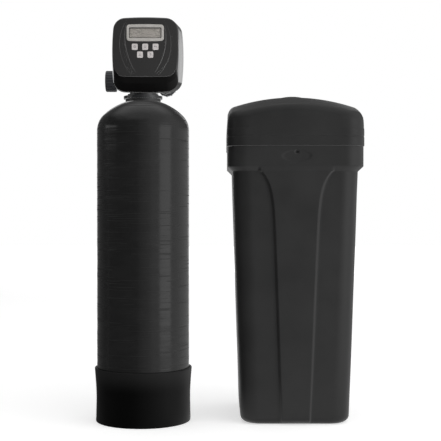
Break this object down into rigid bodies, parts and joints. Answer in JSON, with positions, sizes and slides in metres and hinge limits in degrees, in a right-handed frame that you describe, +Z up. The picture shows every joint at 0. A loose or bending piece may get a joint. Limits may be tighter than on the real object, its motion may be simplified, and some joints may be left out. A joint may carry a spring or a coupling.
{
  "type": "whole house water filter",
  "caption": "Whole house water filter: a tall pressure vessel in a boot with an electronic control head on its neck, and a square lidded brine tank beside it.",
  "frame": {"origin": "middle of the foot of the pressure vessel's boot, on the floor", "axes": "+Z up, -Y towards the front with the display, +X from the vessel towards the brine tank"},
  "size_m": [0.7456, 0.4698, 1.111],
  "materials": {
    "boot_rubber": "matt moulded rubber",
    "wound_shell": "satin wound glass fibre and resin",
    "liner_plastic": "natural polyethylene",
    "white_plastic": "moulded",
    "bed_gravel": "loose washed gravel",
    "bed_media": "loose resin beads",
    "valve_plastic": "glass-filled, satin",
    "seal_rubber": "smooth",
    "spacer_plastic": "moulded",
    "gear_plastic": "natural acetal",
    "steel": "plain",
    "motor_steel": "plated can",
    "board_laminate": "lacquered laminate",
    "switch_plastic": "moulded",
    "display_glass": "reflective display",
    "cover_plastic": "high gloss",
    "face_plastic": "satin",
    "bezel_plastic": "satin silver-grey",
    "window_plastic": "clear",
    "button_plastic": "satin light grey",
    "nut_plastic": "glass-filled, satin",
    "handle_plastic": "satin",
    "tank_plastic": "fine-grained polyethylene",
    "lid_plastic": "fine-grained polyethylene",
    "float_foam": "closed-cell foam"
  },
  "bodies": {
    "root": {"air_check": "white_plastic", "back_plate": "valve_plastic", "brine_tank": "tank_plastic", "brine_well": "white_plastic", "bypass_body": "valve_plastic", "circuit_board": "board_laminate", "coupling_nuts": "nut_plastic", "display_frame": "bezel_plastic", "display_module": "display_glass", "display_window": "window_plastic", "drain_elbow": "valve_plastic", "drive_bracket": "valve_plastic", "drive_cap": "valve_plastic", "drive_motor": "motor_steel", "elbow_clips": "white_plastic", "face_plate": "face_plastic", "filter_media": "bed_media", "gear_cover": "valve_plastic", "gear_pins": "steel", "gravel_bed": "bed_gravel", "head_cover": "cover_plastic", "injector_cap": "nut_plastic", "injector_nozzle": "gear_plastic", "key_switches": "switch_plastic", "lower_distributor": "white_plastic", "meter_body": "valve_plastic", "meter_nut": "nut_plastic", "neck_seals": "seal_rubber", "overflow_elbow": "valve_plastic", "overflow_nut": "nut_plastic", "pipe_connectors": "valve_plastic", "plate_screws": "steel", "port_block": "valve_plastic", "port_seals": "seal_rubber", "refill_elbow": "valve_plastic", "riser_tube": "white_plastic", "salt_grid": "white_plastic", "spacer_stack": "spacer_plastic", "stack_seals": "seal_rubber", "upper_distributor": "white_plastic", "valve_body": "valve_plastic", "vessel_boot": "boot_rubber", "vessel_liner": "liner_plastic", "vessel_shell": "wound_shell", "well_cap": "white_plastic"},
    "motor_pinion": {"motor_pinion": "gear_plastic"},
    "first_gear": {"first_gear": "gear_plastic"},
    "second_gear": {"second_gear": "gear_plastic"},
    "third_gear": {"third_gear": "gear_plastic"},
    "drive_gear": {"drive_gear": "gear_plastic"},
    "piston": {"piston": "gear_plastic"},
    "meter_turbine": {"meter_turbine": "gear_plastic"},
    "brine_lid": {"brine_lid": "lid_plastic"},
    "safety_float": {"safety_float": "float_foam"},
    "inlet_handle": {"inlet_handle": "handle_plastic"},
    "outlet_handle": {"outlet_handle": "handle_plastic"},
    "upper_left_button": {"upper_left_button": "button_plastic"},
    "upper_middle_button": {"upper_middle_button": "button_plastic"},
    "upper_right_button": {"upper_right_button": "button_plastic"},
    "lower_left_button": {"lower_left_button": "button_plastic"},
    "lower_right_button": {"lower_right_button": "button_plastic"}
  },
  "joints": [
    {"name": "drive_gear_spin", "type": "hinge", "parent": "root", "child": "drive_gear", "pos_m": [0.014, -0.049, 0.951], "axis": [0, 1, 0], "range_deg": [0, 1440]},
    {"name": "third_gear_spin", "type": "hinge", "parent": "root", "child": "third_gear", "pos_m": [-0.007, -0.06, 0.98737], "axis": [0, 1, 0], "range_deg": [-8640, 0]},
    {"name": "second_gear_spin", "type": "hinge", "parent": "root", "child": "second_gear", "pos_m": [-0.02778, -0.072, 0.99937], "axis": [0, 1, 0], "range_deg": [0, 25920]},
    {"name": "first_gear_spin", "type": "hinge", "parent": "root", "child": "first_gear", "pos_m": [-0.01578, -0.078, 1.02016], "axis": [0, 1, 0], "range_deg": [-77760, 0]},
    {"name": "motor_spin", "type": "hinge", "parent": "root", "child": "motor_pinion", "pos_m": [0.005, -0.0815, 1.03216], "axis": [0, 1, 0], "range_deg": [0, 233280]},
    {"name": "piston_slide", "type": "slide", "parent": "root", "child": "piston", "axis": [0, 1, 0], "range_m": [0, 0.04]},
    {"name": "meter_spin", "type": "hinge", "parent": "root", "child": "meter_turbine", "pos_m": [-0.076, 0.03, 0.951], "axis": [1, 0, 0], "continuous": true},
    {"name": "lid_lift", "type": "slide", "parent": "root", "child": "brine_lid", "axis": [0, 0, 1], "range_m": [0, 0.4]},
    {"name": "float_rise", "type": "slide", "parent": "root", "child": "safety_float", "axis": [0, 0, 1], "range_m": [0, 0.03]},
    {"name": "inlet_turn", "type": "hinge", "parent": "root", "child": "inlet_handle", "pos_m": [-0.03, 0.1285, 0.98], "axis": [0, 0, 1], "range_deg": [0, 90]},
    {"name": "outlet_turn", "type": "hinge", "parent": "root", "child": "outlet_handle", "pos_m": [0.058, 0.1285, 0.98], "axis": [0, 0, 1], "range_deg": [0, 90]},
    {"name": "upper_left_press", "type": "slide", "parent": "root", "child": "upper_left_button", "axis": [0, 1, 0], "range_m": [0, 0.0015], "stiffness_N_per_m": 300},
    {"name": "upper_middle_press", "type": "slide", "parent": "root", "child": "upper_middle_button", "axis": [0, 1, 0], "range_m": [0, 0.0015], "stiffness_N_per_m": 300},
    {"name": "upper_right_press", "type": "slide", "parent": "root", "child": "upper_right_button", "axis": [0, 1, 0], "range_m": [0, 0.0015], "stiffness_N_per_m": 300},
    {"name": "lower_left_press", "type": "slide", "parent": "root", "child": "lower_left_button", "axis": [0, 1, 0], "range_m": [0, 0.0015], "stiffness_N_per_m": 300},
    {"name": "lower_right_press", "type": "slide", "parent": "root", "child": "lower_right_button", "axis": [0, 1, 0], "range_m": [0, 0.0015], "stiffness_N_per_m": 300}
  ],
  "couplings": [
    {"joint": "third_gear_spin", "follows": "drive_gear_spin", "ratio": -6},
    {"joint": "second_gear_spin", "follows": "drive_gear_spin", "ratio": 18},
    {"joint": "first_gear_spin", "follows": "drive_gear_spin", "ratio": -54},
    {"joint": "motor_spin", "follows": "drive_gear_spin", "ratio": 162},
    {"joint": "piston_slide", "follows": "drive_gear_spin", "m_per_rad": 0.0015915}
  ]
}
